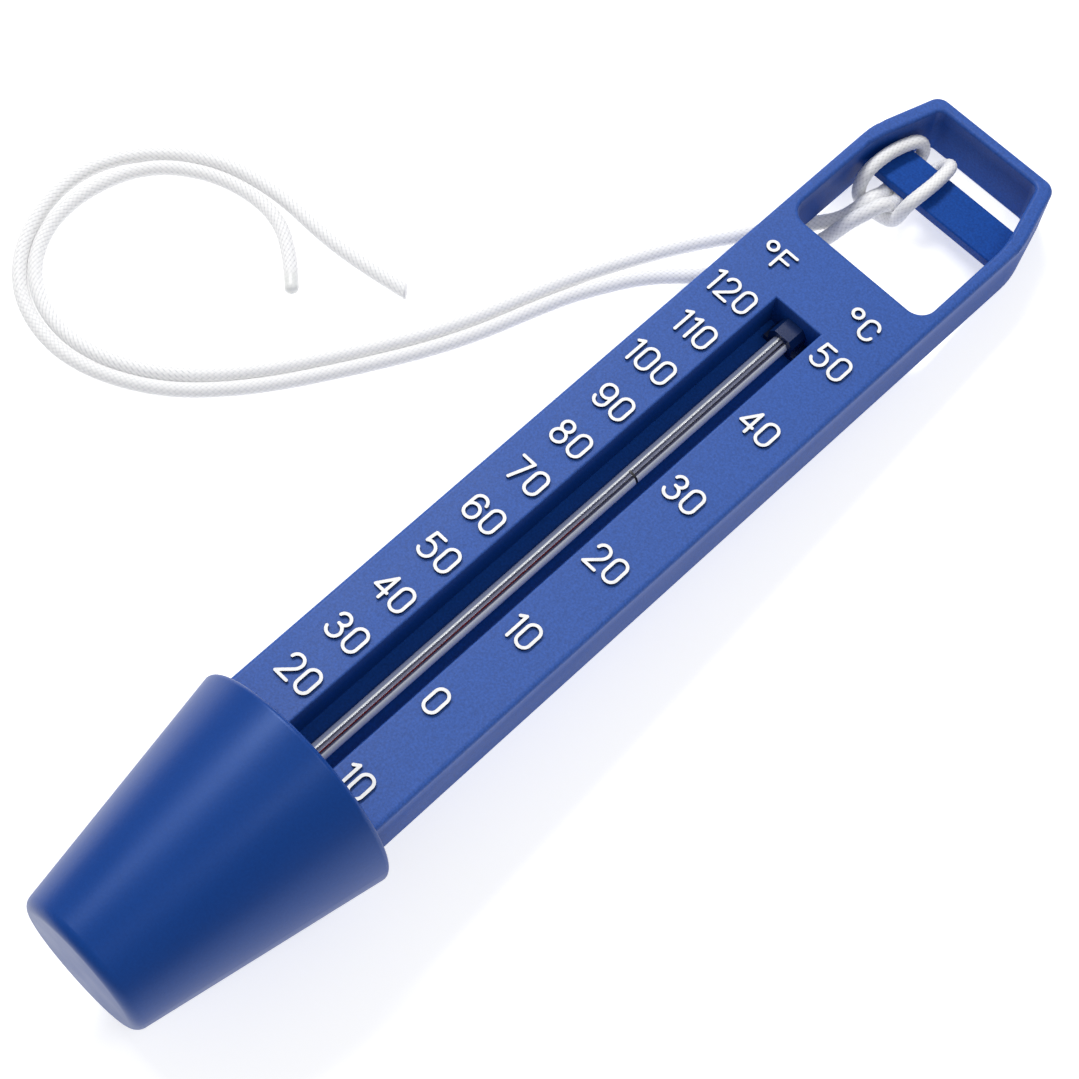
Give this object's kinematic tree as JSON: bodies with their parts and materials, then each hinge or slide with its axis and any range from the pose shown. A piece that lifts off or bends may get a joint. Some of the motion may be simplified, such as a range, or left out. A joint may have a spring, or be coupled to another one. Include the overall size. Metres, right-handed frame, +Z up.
{
  "type": "floating pool thermometer",
  "caption": "Floating pool thermometer: slotted scale body with a glass spirit tube, round water cup at its foot, pierced head with a bar and a hitched cord.",
  "frame": {"origin": "middle of the footprint of the thermometer without its cord, on the surface it lies on", "axes": "+Y from the cup towards the head, +Z up, +X to the reader's right; it lies on its back on the cup's rim and the head's back edge, the face leaning 6 degrees towards the head"},
  "size_m": [0.1696, 0.261, 0.0507],
  "materials": {
    "blue_plastic": "satin, finely speckled",
    "cup_plastic": "satin",
    "clear_glass": "clear",
    "red_spirit": "clear liquid",
    "black_print": "fired ink",
    "black_rubber": "matte",
    "white_figures": "satin",
    "white_cord": "braided"
  },
  "bodies": {
    "thermometer": {"scale_body": "blue_plastic", "back_cover": "blue_plastic", "water_cup": "cup_plastic", "glass_tube": "clear_glass", "spirit_reservoir": "red_spirit", "index_mark": "black_print", "tube_clip": "blue_plastic", "stem_grommet": "black_rubber", "fahrenheit_figures": "white_figures", "celsius_figures": "white_figures", "unit_marks": "white_figures", "cord_hitch": "white_cord", "cord_inner_leg": "white_cord", "cord_outer_leg": "white_cord"},
    "spirit": {"spirit_thread": "red_spirit"}
  },
  "joints": [
    {"name": "spirit_reading", "type": "slide", "parent": "thermometer", "child": "spirit", "axis": [0, 0.9945, -0.1044], "range_m": [-0.014, 0.028]}
  ]
}
